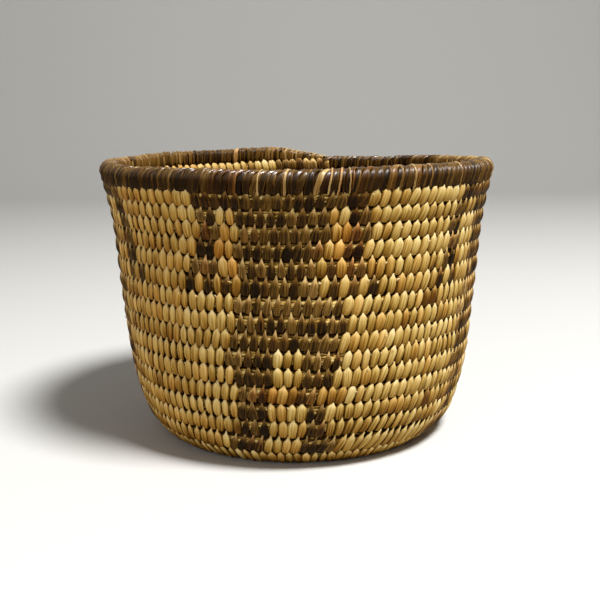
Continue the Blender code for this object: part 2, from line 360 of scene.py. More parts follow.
def hand_wobble(turns, height):
    """Small waves of a hand-made wall, up and out, which neighbouring courses share."""
    angle = -TURN * turns
    share = np.clip((height - WAVES_FROM) / WAVES_FADE, 0.0, 1.0)
    rise, out = (
        sum(size * np.sin(count * angle + climb * height + phase) for size, count, climb, phase in waves)
        for waves in (RISE_WAVES, OUT_WAVES)
    )
    return rise * share * MM, out * share * MM


def place(radius, height, angle):
    """Points at these radii, heights and angles from the front."""
    return np.stack((radius * np.sin(angle), -radius * np.cos(angle), height), axis=-1)


def coil_points(turns):
    """Points of the coil's middle line."""
    radius, height, _ = section(turns)
    drop = np.where(turns > RIM_TURN, RIM_RADIUS * (1.0 - rim_share(turns)), 0.0)
    rise, out = hand_wobble(turns, height)
    return place(radius + out, height + rise + lie(turns) - drop, -TURN * turns)


def start_turn():
    """The bundle begins as a knot of its own first turn, bent as tight as it goes."""
    inner = TURN_GRID[TURN_GRID < 0]
    return float(np.interp(START_RADIUS, section(inner)[0], inner))


START_TURN = start_turn()


# Small helpers for looks and trees

def linear(hex_colour):
    """A written sRGB colour as the linear one that the shaders take."""
    parts = [int(hex_colour[k:k + 2], 16) / 255 for k in (1, 3, 5)]
    return tuple(c / 12.92 if c <= 0.04045 else ((c + 0.055) / 1.055) ** 2.4 for c in parts) + (1.0,)


def feed(tree, node, inputs):
    """Gives each input of a node a value, or a link from an output or from a node's first output."""
    for key, value in inputs.items():
        socket = node.inputs[key]
        if isinstance(value, bpy.types.Node):
            value = value.outputs[0]
        if isinstance(value, bpy.types.NodeSocket):
            tree.links.new(value, socket)
        else:
            socket.default_value = value


def add_node(tree, kind, inputs=None, **settings):
    """A node with its settings and what feeds its inputs."""
    node = tree.nodes.new(kind)
    for name, value in settings.items():
        setattr(node, name, value)
    feed(tree, node, inputs or {})
    return node


def new_material(name):
    """A material with its tree and shader."""
    made = bpy.data.materials.new(name)
    made.use_nodes = True
    return made, made.node_tree, made.node_tree.nodes["Principled BSDF"]


def set_steps(band, steps):
    """Gives a colour band its (place, hex colour) pairs."""
    while len(band.elements) < len(steps):
        band.elements.new(0.5)
    for element, (position, colour) in zip(band.elements, steps):
        element.position = position
        element.color = linear(colour)


def splint_shade(tree, fibres, contrast, by_end, by_edge):
    """Fibre lines along a splint, the distance from the middle of its length, and the splint's shade.

    The shade is the splint's tone, with its fibre lines at this contrast, changed towards its ends and
    its edges. Both changes are a start, a stop, and the shade to add at each. Every splint has fibre
    lines of its own.
    """
    uv = add_node(tree, "ShaderNodeUVMap", uv_map="splint")
    tone = add_node(tree, "ShaderNodeAttribute", attribute_name="tone")
    number = add_node(tree, "ShaderNodeAttribute", attribute_name="number")
    parts = add_node(tree, "ShaderNodeSeparateXYZ", {0: uv})
    across, along = parts.outputs[0], parts.outputs[1]
    where = add_node(tree, "ShaderNodeCombineXYZ", {
        0: add_node(tree, "ShaderNodeMath", {0: across, 1: fibres}, operation="MULTIPLY"),
        1: add_node(tree, "ShaderNodeMath", {0: along, 1: FIBRE_LENGTHS}, operation="MULTIPLY"),
        2: add_node(tree, "ShaderNodeMath", {0: number.outputs["Fac"], 1: OWN_FIBRES},
                    operation="MULTIPLY")})
    lines = add_node(tree, "ShaderNodeTexNoise", {"Vector": where, "Scale": 1.0, "Detail": 3.0})
    streak = add_node(tree, "ShaderNodeMath", {0: lines, 1: 0.5}, operation="SUBTRACT")
    streaked = add_node(tree, "ShaderNodeMath", {0: streak, 1: contrast, 2: tone.outputs["Fac"]},
                        operation="MULTIPLY_ADD")
    distances, changes = [], []
    for part, (start, stop, low, high) in ((along, by_end), (across, by_edge)):
        shift = add_node(tree, "ShaderNodeMath", {0: part, 1: 0.5}, operation="SUBTRACT")
        distances.append(add_node(tree, "ShaderNodeMath", {0: shift}, operation="ABSOLUTE"))
        changes.append(add_node(tree, "ShaderNodeMapRange", {
            "Value": distances[-1], "From Min": start, "From Max": stop, "To Min": low, "To Max": high}))
    change = add_node(tree, "ShaderNodeMath", {0: changes[0], 1: changes[1]}, operation="ADD")
    shade = add_node(tree, "ShaderNodeMath", {0: streaked, 1: change}, operation="ADD")
    return lines, distances[0], shade


# Looks

def willow_look():
    """Scraped willow splint: golden tan, satin, with fine fibre lines; its tip painted lighter and its
    foot and edges darker, as painted light and shade.

    Splints on the left side of the basket get a warmer, amber cast.
    """
    made, tree, shader = new_material("scraped willow splint")
    # Painted light and shade: the tip is lighter where the splint turns up to the light, the foot darker
    # where it turns under, and the edges darker, as painted shade between stitches.
    lines, from_top, shade = splint_shade(
        tree, WILLOW_FIBRES, contrast=1.0,
        by_end=(0.14, 0.40, 0.15, -0.41), by_edge=(0.32, 0.5, 0.0, -0.30))
    colour = add_node(tree, "ShaderNodeValToRGB", {"Fac": shade})
    set_steps(colour.color_ramp, WILLOW_COLOURS)
    centre = add_node(tree, "ShaderNodeTexCoord")
    axes = add_node(tree, "ShaderNodeSeparateXYZ", {0: centre.outputs["Object"]})
    # A warmer, amber cast on the splints at the left side of the basket.
    left_side_share = add_node(tree, "ShaderNodeMapRange", {
        "Value": axes, "From Min": LEFT_CAST_FULL, "From Max": LEFT_CAST_NONE, "To Min": 1.0, "To Max": 0.0})
    amber = add_node(tree, "ShaderNodeMix", {0: left_side_share, 6: colour, 7: (*LEFT_SIDE_CAST, 1.0)},
                     data_type="RGBA", blend_type="MULTIPLY")
    russet = add_node(tree, "ShaderNodeAttribute", attribute_name="russet")
    tinted = add_node(tree, "ShaderNodeMix", {
        0: russet.outputs["Fac"], 6: amber.outputs[2], 7: (*WILLOW_RUSSET, 1.0)},
        data_type="RGBA", blend_type="MULTIPLY")
    gloss = add_node(tree, "ShaderNodeMapRange", {
        "Value": from_top, "From Min": 0.14, "From Max": 0.28, "To Min": 0.35, "To Max": 0.04})
    bump = add_node(tree, "ShaderNodeBump", {"Height": lines, "Distance": 0.12 * MM, "Strength": 0.6})
    feed(tree, shader, {"Base Color": tinted.outputs[2], "Roughness": 0.55,
                        "Specular IOR Level": gloss, "Normal": bump})
    return made


def seed_pod_look(name, roughness, shine, fade, contrast):
    """Seed-pod splint, black-brown where thick and olive-brown where scraped thin, at tips and edges.

    Roughness and shine are those of its crown, and fade is how much paler its tips are. The paler tips
    and edges are partly the scraped splint's own colour and partly a painted highlight, and the darker
    lower part is painted shade.
    """
    made, tree, shader = new_material(name)
    # Painted light and shade: tips and edges paler, partly the scraped splint's colour and partly a
    # painted highlight, and the lower part darker, as painted shade.
    lines, from_top, shade = splint_shade(
        tree, SEED_POD_FIBRES, contrast,
        by_end=(0.05, 0.26, fade, -0.12), by_edge=(0.25, 0.5, 0.0, 0.26))
    colour = add_node(tree, "ShaderNodeValToRGB", {"Fac": shade})
    set_steps(colour.color_ramp, SEED_POD_COLOURS)
    russet = add_node(tree, "ShaderNodeAttribute", attribute_name="russet")
    tinted = add_node(tree, "ShaderNodeMix", {
        0: russet.outputs["Fac"], 6: colour, 7: (*SEED_POD_RUSSET, 1.0)},
        data_type="RGBA", blend_type="MULTIPLY")
    gloss, rough = (
        add_node(tree, "ShaderNodeMapRange", {
            "Value": from_top, "From Min": 0.10, "From Max": 0.24, "To Min": crown, "To Max": end})
        for crown, end in ((shine, 0.05), (roughness, 0.6))
    )
    bump = add_node(tree, "ShaderNodeBump", {"Height": lines, "Distance": 0.15 * MM, "Strength": 0.8})
    feed(tree, shader, {"Base Color": tinted.outputs[2], "Roughness": rough,
                        "Specular IOR Level": gloss, "Normal": bump})
    return made


def grass_look(bound_from):
    """Split grass stems in a bundle: dry, matte, pale yellow, with dark lines between the stems.

    The bundle is painted darker where two courses meet, as painted shade in the crease, and from this
    length on, as painted shade under the binding.
    """
    made, tree, shader = new_material("split grass bundle")
    around = add_node(tree, "ShaderNodeAttribute", attribute_name="round_bundle").outputs["Fac"]
    along = add_node(tree, "ShaderNodeAttribute", attribute_name="along_bundle").outputs["Fac"]
    where = add_node(tree, "ShaderNodeCombineXYZ", {
        0: add_node(tree, "ShaderNodeMath", {0: around, 1: GRASS_ROUND}, operation="MULTIPLY"),
        1: add_node(tree, "ShaderNodeMath", {0: along, 1: GRASS_PER_METRE}, operation="MULTIPLY")})
    stems = add_node(tree, "ShaderNodeTexNoise", {"Vector": where, "Scale": 1.0, "Detail": 2.0})
    angle = add_node(tree, "ShaderNodeMath", {0: around, 1: TURN}, operation="MULTIPLY")
    rise = add_node(tree, "ShaderNodeMath", {0: angle}, operation="SINE")
    rise = add_node(tree, "ShaderNodeMath", {0: rise, 1: CREASE_SHIFT}, operation="SUBTRACT")
    rise = add_node(tree, "ShaderNodeMath", {0: rise}, operation="ABSOLUTE")
    # Painted shade in the creases where two courses meet; it reaches further round the bundle's lower
    # side.
    crease_shade = add_node(tree, "ShaderNodeMapRange", {
        "Value": rise, "From Min": 0.55, "From Max": 0.80, "To Min": 0.0, "To Max": -0.21})
    # Painted shade on the bundle under the binding, from this length on.
    bound = add_node(tree, "ShaderNodeMapRange", {
        "Value": along, "From Min": bound_from, "From Max": bound_from + 4.0 * MM,
        "To Min": 0.0, "To Max": -0.35})
    dark = add_node(tree, "ShaderNodeMath", {0: crease_shade, 1: bound}, operation="MINIMUM")
    shade = add_node(tree, "ShaderNodeMath", {0: stems, 1: dark}, operation="ADD")
    colour = add_node(tree, "ShaderNodeValToRGB", {"Fac": shade})
    set_steps(colour.color_ramp, GRASS_COLOURS)
    bump = add_node(tree, "ShaderNodeBump", {"Height": stems, "Distance": 0.2 * MM, "Strength": 0.8})
    feed(tree, shader, {"Base Color": colour, "Roughness": 0.7,
                        "Specular IOR Level": 0.12, "Normal": bump})
    return made


# Patterns for one stitch: out and up from the coil's middle line, then width and crown.
# Out and crown are shares of the bulge, up is a share of the half pitch, width is a share of a stitch.

INNER_HALF = (
    (-0.72, 0.80, 0.62, 0.12), (-0.95, 0.30, 0.96, 0.17), (-0.96, -0.40, 1.0, 0.18),
    (-0.80, -0.95, 0.84, 0.13), (-0.50, -1.22, 0.30, 0.05),
)
PALE_STITCH = (
    (0.30, -1.20, 0.38, 0.06), (0.68, -1.21, 0.66, 0.11), (0.89, -1.06, 0.86, 0.15),
    (1.00, -0.64, 1.04, 0.16), (1.03, -0.06, 1.12, 0.16), (1.02, 0.36, 1.07, 0.16),
    (1.00, 0.60, 0.92, 0.15), (0.97, 0.75, 0.66, 0.14), (0.95, 0.88, 0.42, 0.13),
    (0.90, 1.14, 0.20, 0.11), (0.0, 1.24, 0.10, 0.05), *INNER_HALF,
)
DARK_STITCH = (
    (0.30, -1.18, 0.46, 0.07), (0.67, -1.18, 0.80, 0.12), (0.88, -1.01, 1.00, 0.16),
    (0.98, -0.62, 1.07, 0.18), (1.02, -0.16, 1.00, 0.18), (0.99, 0.18, 0.80, 0.17),
    (0.95, 0.44, 0.54, 0.16), (0.91, 0.72, 0.32, 0.14), (0.86, 1.06, 0.17, 0.11),
    (0.0, 1.24, 0.10, 0.05), *INNER_HALF,
)
SPLIT_END = ((0.94, 0.30, 0.16, 0.07), (1.18, 0.60, 0.24, 0.07), (1.34, 0.80, 0.08, 0.04))

# A binding splint's outer foot, the angles at which it goes over the last turn, and its inner foot
BINDING_FOOT = ((0.58, -1.42, 0.34, 0.06), (0.80, -1.26, 0.72, 0.12), (0.93, -0.86, 0.98, 0.18))
BINDING_OVER = (-25.0, 5.0, 32.0, 56.0, 76.0, 96.0, 125.0, 160.0)
BINDING_RADIUS = 0.97
BINDING_CROWN = 0.19
BINDING_INNER_FOOT = ((-0.93, -0.55, 1.0, 0.13), (-0.72, -1.22, 0.40, 0.06))
BINDING_DRIFT = (-0.50, -0.45, -0.36, -0.24, -0.08, 0.14, 0.42, 0.78, 1.15, 1.6, 2.0, 2.2, 2.3)


def stitch_pattern(name, stations, drift=None):
    """A closed splint along the stations: five points over its crown and one under it."""
    across = (-0.5, -0.32, 0.0, 0.32, 0.5, 0.0)
    rise = (0.0, 0.72, 1.0, 0.72, 0.0, -0.5)
    path = np.array([(out, up) for out, up, _, _ in stations])
    run = np.gradient(path, axis=0)
    run /= np.linalg.norm(run, axis=1)[:, None]
    facing = np.stack((run[:, 1], -run[:, 0]), axis=-1)
    drift = [0.0] * len(stations) if drift is None else drift
    top = int(np.argmax(path[:, 1]))
    end = max(len(stations) - 1, top + 1)
    share = np.interp(np.arange(len(stations)), (0, top, end), (0.0, 0.5, 1.0))
    verts, uvs = [], []
    for index, (_, _, width, crown) in enumerate(stations):
        for side, lift in zip(across, rise):
            point = path[index] + facing[index] * crown * lift
            verts.append((point[0], side * width + drift[index], point[1]))
            uvs.append((side + 0.5, share[index]))
    ring = len(across)
    last = (len(stations) - 1) * ring
    faces = [
        (start + k, start + (k + 1) % ring, start + (k + 1) % ring + ring, start + k + ring)
        for start in range(0, last, ring) for k in range(ring)
    ]
    faces.append(tuple(reversed(range(ring))))
    faces.append(tuple(range(last, last + ring)))
    mesh = bpy.data.meshes.new(name)
    mesh.from_pydata(verts, [], faces)
    layer = mesh.uv_layers.new(name="splint")
    for loop in mesh.loops:
        layer.data[loop.index].uv = uvs[loop.vertex_index]
    return add_object(name, mesh)


def binding_pattern():
    """A binding splint: up over the last turn from the course below, leaning to the right on top."""
    over = [(BINDING_RADIUS * math.cos(a), BINDING_RADIUS * math.sin(a), 1.0, BINDING_CROWN)
            for a in np.radians(BINDING_OVER)]
    return stitch_pattern("binding_stitch", (*BINDING_FOOT, *over, *BINDING_INNER_FOOT), BINDING_DRIFT)


def add_object(name, data):
    """An object of this data, in the scene."""
    made = bpy.data.objects.new(name, data)
    bpy.context.collection.objects.link(made)
    return made


# Geometry Nodes trees

def new_tree(name, sockets):
    """A tree with named inputs and one geometry output."""
    tree = bpy.data.node_groups.new(name, "GeometryNodeTree")
    tree.interface.new_socket("Geometry", in_out="INPUT", socket_type="NodeSocketGeometry")
    for socket_name, kind in sockets:
        tree.interface.new_socket(socket_name, in_out="INPUT", socket_type=kind)
    tree.interface.new_socket("Geometry", in_out="OUTPUT", socket_type="NodeSocketGeometry")
    return tree, add_node(tree, "NodeGroupInput"), add_node(tree, "NodeGroupOutput")


def run_tree(name, data, tree, values):
    """The plain mesh that a tree makes from this data, with the tree's named inputs set."""
    worker = add_object(name + "_worker", data)
    modifier = worker.modifiers.new("tree", "NODES")
    modifier.node_group = tree
    for socket in tree.interface.items_tree:
        if socket.in_out == "INPUT" and socket.name in values:
            modifier[socket.identifier] = values[socket.name]
    solid = worker.evaluated_get(bpy.context.evaluated_depsgraph_get())
    mesh = bpy.data.meshes.new_from_object(solid)
    mesh.name = name
    bpy.data.objects.remove(worker, do_unlink=True)
    return add_object(name, mesh)


def sewing_tree():
    """Sews one stitch at each place: leaned, sized and roughened by hand."""
    tree, given, result = new_tree("sew splints over the coil", (
        ("Stitch", "NodeSocketObject"), ("Lean", "NodeSocketFloat"), ("Lean spread", "NodeSocketFloat"),
        ("Width spread", "NodeSocketFloat"), ("Length spread", "NodeSocketFloat"),
        ("Unevenness", "NodeSocketFloat"), ("Ground", "NodeSocketFloat"),
        ("Seed", "NodeSocketInt"), ("Finish", "NodeSocketMaterial")))

    def spread(name, shift):
        """A random number from minus to plus the named input."""
        low = add_node(tree, "ShaderNodeMath", {0: given.outputs[name], 1: -1.0}, operation="MULTIPLY")
        seed = add_node(tree, "ShaderNodeMath", {0: given.outputs["Seed"], 1: shift}, operation="ADD")
        drawn = add_node(tree, "FunctionNodeRandomValue", {
            "Min": low, "Max": given.outputs[name], "Seed": seed})
        return drawn.outputs[1]

    pattern = add_node(tree, "GeometryNodeObjectInfo", {"Object": given.outputs["Stitch"]})
    turned, sized = (
        add_node(tree, "GeometryNodeInputNamedAttribute", {"Name": label}, data_type="FLOAT_VECTOR")
        for label in ("turned", "sized")
    )
    placed = add_node(tree, "GeometryNodeInstanceOnPoints", {
        "Points": given.outputs["Geometry"], "Instance": pattern.outputs["Geometry"],
        "Rotation": turned, "Scale": sized})
    sway = add_node(tree, "GeometryNodeInputNamedAttribute", {"Name": "sway"}, data_type="FLOAT")
    lean = add_node(tree, "ShaderNodeMath", {0: given.outputs["Lean"], 1: spread("Lean spread", 1)},
                    operation="ADD")
    lean = add_node(tree, "ShaderNodeMath", {0: lean, 1: sway}, operation="ADD")
    lean_turn = add_node(tree, "ShaderNodeCombineXYZ", {0: lean})
    leaned = add_node(tree, "GeometryNodeRotateInstances", {"Instances": placed, "Rotation": lean_turn})
    wide = add_node(tree, "ShaderNodeMath", {0: spread("Width spread", 2), 1: 1.0}, operation="ADD")
    tall = add_node(tree, "ShaderNodeMath", {0: spread("Length spread", 3), 1: 1.0}, operation="ADD")
    factor = add_node(tree, "ShaderNodeCombineXYZ", {0: 1.0, 1: wide, 2: tall})
    scaled = add_node(tree, "GeometryNodeScaleInstances", {"Instances": leaned, "Scale": factor})
    solid = add_node(tree, "GeometryNodeRealizeInstances", {"Geometry": scaled})
    where = add_node(tree, "GeometryNodeInputPosition")
    noise = add_node(tree, "ShaderNodeTexNoise", {
        "Vector": where, "Scale": 1.0 / UNEVEN_STEP, "Detail": 1.0})
    centred = add_node(tree, "ShaderNodeVectorMath", {0: noise.outputs["Color"], 1: (-0.5, -0.5, -0.5)},
                       operation="ADD")
    rough = add_node(tree, "ShaderNodeVectorMath", {0: centred, "Scale": given.outputs["Unevenness"]},
                     operation="SCALE")
    uneven = add_node(tree, "GeometryNodeSetPosition", {"Geometry": solid, "Offset": rough})
    parts = add_node(tree, "ShaderNodeSeparateXYZ", {0: add_node(tree, "GeometryNodeInputPosition")})
    kept_up = add_node(tree, "ShaderNodeMath", {0: parts.outputs[2], 1: given.outputs["Ground"]},
                       operation="MAXIMUM")
    flat = add_node(tree, "ShaderNodeCombineXYZ", {0: parts.outputs[0], 1: parts.outputs[1], 2: kept_up})
    rested = add_node(tree, "GeometryNodeSetPosition", {"Geometry": uneven, "Position": flat})
    smooth = add_node(tree, "GeometryNodeSetShadeSmooth", {"Geometry": rested})
    finished = add_node(tree, "GeometryNodeSetMaterial", {
        "Geometry": smooth, "Material": given.outputs["Finish"]})
    feed(tree, result, {0: finished})
    return tree


def bundle_tree():
    """Winds a bundle of stems along the coil: a lobed section, one lobe for each outer stem."""
    tree, given, result = new_tree("wind a bundle of stems", (
        ("Stems", "NodeSocketInt"), ("Groove", "NodeSocketFloat"), ("Finish", "NodeSocketMaterial")))
    count = add_node(tree, "ShaderNodeMath", {0: given.outputs["Stems"], 1: 3.0}, operation="MULTIPLY")
    ring = add_node(tree, "GeometryNodeCurvePrimitiveCircle", {"Resolution": count, "Radius": 1.0})
    share = add_node(tree, "GeometryNodeSplineParameter")
    marked = add_node(tree, "GeometryNodeStoreNamedAttribute", {
        "Geometry": ring, "Name": "round_bundle", "Value": share.outputs["Factor"]})
    waves = add_node(tree, "ShaderNodeMath", {0: share.outputs["Factor"], 1: given.outputs["Stems"]},
                     operation="MULTIPLY")
    phase = add_node(tree, "ShaderNodeMath", {0: waves, 1: TURN}, operation="MULTIPLY")
    wave = add_node(tree, "ShaderNodeMath", {0: phase}, operation="COSINE")
    depth = add_node(tree, "ShaderNodeMath", {0: wave, 1: given.outputs["Groove"]}, operation="MULTIPLY")
    where = add_node(tree, "GeometryNodeInputPosition")
    move = add_node(tree, "ShaderNodeVectorMath", {0: where, "Scale": depth}, operation="SCALE")
    lobed = add_node(tree, "GeometryNodeSetPosition", {"Geometry": marked, "Offset": move})
    length = add_node(tree, "GeometryNodeSplineParameter")
    path = add_node(tree, "GeometryNodeStoreNamedAttribute", {
        "Geometry": given.outputs["Geometry"], "Name": "along_bundle",
        "Value": length.outputs["Length"]})
    wound = add_node(tree, "GeometryNodeCurveToMesh", {
        "Curve": path, "Profile Curve": lobed, "Scale": add_node(tree, "GeometryNodeInputRadius"),
        "Fill Caps": True})
    smooth = add_node(tree, "GeometryNodeSetShadeSmooth", {"Geometry": wound})
    whole = add_node(tree, "GeometryNodeRealizeInstances", {"Geometry": smooth})
    finished = add_node(tree, "GeometryNodeSetMaterial", {
        "Geometry": whole, "Material": given.outputs["Finish"]})
    feed(tree, result, {0: finished})
    return tree


# Bundle

def add_bundle(tree):
    """The unbroken bundle from the knot to the coil's end behind the rim."""
    per_turn = np.interp(TURN_GRID, (START_TURN, *ROUTE_TURNS), ROUTE_COUNTS)
    number = running_total(per_turn, START_TURN)
    last = np.interp(RIM_END, TURN_GRID, number)
    turns = np.interp(np.linspace(0.0, last, int(last) + 1), number, TURN_GRID)
    half_pitch = np.interp(turns, TURN_GRID, PITCH_GRID) / 2
    thickness = np.minimum(half_pitch * PITCH_FILL, bulge(turns) * BULGE_FILL)
    thickness *= np.where(turns > RIM_TURN - RIM_FILL_LEAD, RIM_FILL, 1.0)
    thickness *= 1.0 - END_THINNING * np.clip(
        (turns - RIM_END + END_THINNING_LEAD) / END_THINNING_TURNS, 0.0, 1.0)
    thickness *= KNOT_THICKNESS + (1.0 - KNOT_THICKNESS) * np.clip(
        (turns - START_TURN) / KNOT_TURNS, 0.0, 1.0)
    points = coil_points(turns)
    thickness = np.minimum(thickness, points[:, 2] - BUNDLE_CLEARANCE)
    _, _, lean = section(turns)
    curve = bpy.data.curves.new("coil_route", "CURVE")
    curve.dimensions = "3D"
    curve.twist_mode = "Z_UP"
    spline = curve.splines.new("POLY")
    spline.points.add(len(points) - 1)
    for knot, point, size, angle in zip(spline.points, points, thickness, lean):
        knot.co = (*point, 1.0)
        knot.radius = size
        knot.tilt = -angle
    steps = np.linalg.norm(np.diff(points, axis=0), axis=1)
    bound_from = steps[turns[1:] < RIM_TURN].sum()
    return run_tree("grass_bundle", curve, tree, {
        "Stems": OUTER_STEMS, "Groove": STEM_GROOVE, "Finish": grass_look(bound_from)})


# Stitches

def sewing_rate():
    """Stitches in a turn: fewer where the heel is narrow, and fewer still towards the base's middle."""
    wall = np.interp(TURN_GRID, SEWING_TURNS, SEWING_STITCHES)
    closer = np.interp(TURN_GRID, FIGURE_CLOSER_TURNS, (0.0, FIGURE_CLOSER))
    wall *= 1.0 + closer * np.cos(FIGURE_COUNT * (TURN * TURN_GRID + FIGURE_FRONT))
    radius = section(TURN_GRID)[0]
    return np.minimum(wall, TURN * np.maximum(radius, BASE_MIDDLE) / BASE_STITCH)


RATE_GRID = sewing_rate()
NUMBER_GRID = running_total(RATE_GRID, 0.0) + STITCH_SHIFT


def stitch_turns(first, last):
    """The turns at which the stitches between two turns sit."""
    start, stop = np.interp((first, last), TURN_GRID, NUMBER_GRID)
    return np.interp(np.arange(math.ceil(start), math.floor(stop) + 1), NUMBER_GRID, TURN_GRID)


def front_angle(turns):
    """Angle from the front, from minus to plus half a turn."""
    return (-TURN * turns + math.pi) % TURN - math.pi


def hand_sway(turns):
    """How much more the stitches lean, as the sewer's hand drifts: most on the right of the front."""
    side = np.interp(np.degrees(front_angle(turns)), SWAY_ANGLES, SWAYS)
    side -= FOOT_SWAY * np.clip((FOOT_SWAY_TURN - turns) / FOOT_SWAY_FADE, 0.0, 1.0)
    side = np.where(turns < BASE_SWAY_TURN, BASE_SWAY, side)
    for size, pace, phase in SWAY_WAVES:
        side = side + size * np.sin(pace * turns + phase)
    return np.radians(side)


def within(turns, course, angles):
    """Which of these turns lie on this course, between two angles in degrees from the front."""
    angle = np.degrees(front_angle(turns))
    return (np.round(turns + angle / 360.0) == course) & (angle > angles[0]) & (angle < angles[1])


def by_chance(chance, rise, start, most):
    """A share that is none for most splints, and more the higher their chance."""
    return np.clip(rise * chance - start, 0.0, most)


def russet_share(turns, numbers):
    """How russet each splint is: a few all over, and most of those by the front figure's arms."""
    chance = numbers % 1.0
    away = np.abs(np.degrees(front_angle(turns) - FIGURE_FRONT))
    by_arms = np.clip(ARMS_FULL - np.abs(away - ARMS_ANGLE) / ARMS_FADE, 0.0, 1.0)
    by_arms *= np.clip(turns - ARMS_FROM, 0.0, 1.0)
    share = by_chance(chance, *RUSSET_FEW) + ARMS_RUSSET * by_arms * by_chance(chance, *RUSSET_ARMS)
    return share + np.where(within(turns, BROWN_COURSE, BROWN_ANGLES), BROWN_RUSSET, 0.0)


def stitch_sizes(turns, width):
    """Bulge, width and half pitch of the stitches on the wall and the base."""
    radius, _, lean = section(turns)
    rate = np.interp(turns, TURN_GRID, RATE_GRID)
    half_pitch = np.interp(turns, TURN_GRID, PITCH_GRID) / 2
    half_pitch = half_pitch * (
        1.0 + LONG_STITCH * np.clip(half_pitch / LONG_FROM - 1.0, 0.0, LONG_FADE) / LONG_FADE)
    out = bulge(turns)
    out = np.where(lean > BASE_LEAN, np.minimum(out, BASE_BULGE), out)
    return np.stack((out, TURN * radius / rate * width, half_pitch), axis=-1)


def add_stitches(name, tree, turns, tones, sizes, values, drift=0.0):
    """Sews a stitch of this tone and size at each of these turns."""
    lean = section(turns)[2]
    turned = np.stack((np.zeros(len(turns)), lean, front_angle(turns) - math.pi / 2), axis=-1)
    mesh = bpy.data.meshes.new(name + "_places")
    mesh.from_pydata([tuple(p) for p in coil_points(turns)], [], [])
    numbers = random.uniform(0.0, OWN_NUMBERS, len(turns))
    for label, rows in (("turned", turned), ("sized", sizes)):
        places = mesh.attributes.new(label, "FLOAT_VECTOR", "POINT")
        places.data.foreach_set("vector", rows.astype(np.float32).ravel())
    for label, rows in (("tone", tones), ("number", numbers), ("sway", hand_sway(turns) * drift),
                        ("russet", russet_share(turns, numbers))):
        places = mesh.attributes.new(label, "FLOAT", "POINT")
        places.data.foreach_set("value", rows.astype(np.float32))
    return run_tree(name, mesh, tree, values)


# Figures: for each course from the rim down, runs of dark splints in stitches from the middle.
# A third number lifts a run's tone from black towards brown.

SHOULDERS = ((-8.0, 8.0, 0.1),)
LOW_ARMS = ((-9.1, -7.0, 0.1), (-4.0, 4.0, 0.15), (7.0, 9.2, 0.1))
FRONT_FIGURE = (
    ((-7.9, 8.0, 0.05),),
    ((-7.9, -6.0, 0.1), (-4.1, 4.3, 0.0), (6.3, 8.3, 0.0)),
    ((-7.8, -5.8, 0.15), (-3.9, -2.0, 0.15), (-1.9, 4.6, 0.0), (6.6, 8.6, 0.12)),
    ((-8.3, -6.5, 0.0), (-4.5, 4.0, 0.02), (5.9, 7.9, 0.05)),
    ((-9.0, -6.4, 0.15), (-4.2, 3.3, 0.15), (4.3, 5.1, 0.25), (6.2, 8.1, 0.15)),
    ((-9.8, -9.0, 0.1), (-7.8, -7.0, 0.1), (-5.8, -5.1, 0.0), (-4.0, 3.5, 0.05),
     (4.6, 5.3, 0.1), (6.6, 7.3, 0.0), (8.6, 9.3, 0.0)),
    ((-5.1, 5.9, 0.32),),
    ((-5.1, 5.9, 0.08),),
    ((-5.3, 5.9, 0.12),),
    ((-5.7, -1.4, 0.1), (1.7, 5.9, 0.15)),
    ((-5.5, -1.2, 0.05), (1.7, 5.0, 0.08)),
    ((-4.7, -3.0, 0.15), (-2.6, -2.0, 0.5), (1.5, 3.3, 0.1)),
    ((-5.0, -2.2, 0.08), (2.3, 4.1, 0.08)),
    ((-5.0, -2.2, 0.05), (2.3, 4.1, 0.1)),
    ((-6.6, -2.9, 0.1), (1.8, 5.4, 0.15)),
)
OTHER_FIGURE = (
    SHOULDERS,
    ((-8.1, -6.1, 0.1), (-4.0, 4.0, 0.15), (6.2, 8.1, 0.1)),
    LOW_ARMS, LOW_ARMS, LOW_ARMS,
    ((-10.4, -9.4, 0.1), (-8.4, -7.6, 0.2), (-4.2, 3.8, 0.15), (7.6, 8.4, 0.2), (9.4, 10.4, 0.1)),
    ((-5.4, 5.6, 0.35),), ((-5.4, 5.6, 0.2),), ((-5.4, 5.6, 0.25),),
    ((-5.5, -1.5, 0.2), (1.5, 5.5, 0.2)), ((-5.5, -1.5, 0.2), (1.5, 5.5, 0.2)),
    ((-5.0, -1.5, 0.3), (1.5, 4.5, 0.2)), ((-5.3, -2.4, 0.2), (1.6, 3.8, 0.2)),
    ((-5.4, -2.6, 0.15), (1.6, 3.8, 0.2)), ((-8.0, -2.8, 0.2), (2.0, 6.0, 0.25)),
)
BACK_TOP = (((-3.4, 4.0, 0.15),),)


def figure_angles():
    """Three figures stand at an even spacing; the others share what is left behind them."""
    spread = [-FIGURE_SPACING, 0.0, FIGURE_SPACING]
    left_over = TURN - 2 * FIGURE_SPACING
    others = FIGURE_COUNT - len(spread)
    spread += [FIGURE_SPACING + left_over * (k + 1) / (others + 1) for k in range(others)]
    return [FIGURE_FRONT + angle for angle in spread]


def dark_runs(turns):
    """For each stitch, the figure that it belongs to, or -1, and how brown it is."""
    owner = np.full(len(turns), -1)
    brown = np.zeros(len(turns))
    for number, middle in enumerate(figure_angles()):
        rows = FRONT_FIGURE if number == FRONT_FIGURE_NUMBER else OTHER_FIGURE
        top = TOP_COURSE
        if number == FIGURE_COUNT - 1:
            rows = BACK_TOP + OTHER_FIGURE
            top = TOP_COURSE + 1
        away = (-TURN * turns - middle + math.pi) % TURN - math.pi
        course = np.round(turns + (middle + away) / TURN).astype(int)
        offset = away / STITCH_ANGLE
        for row, runs in enumerate(rows):
            for left, right, lift in runs:
                inside = (course == top - row) & (offset >= left) & (offset <= right)
                owner[inside] = number
                brown[inside] = lift
    return owner, brown


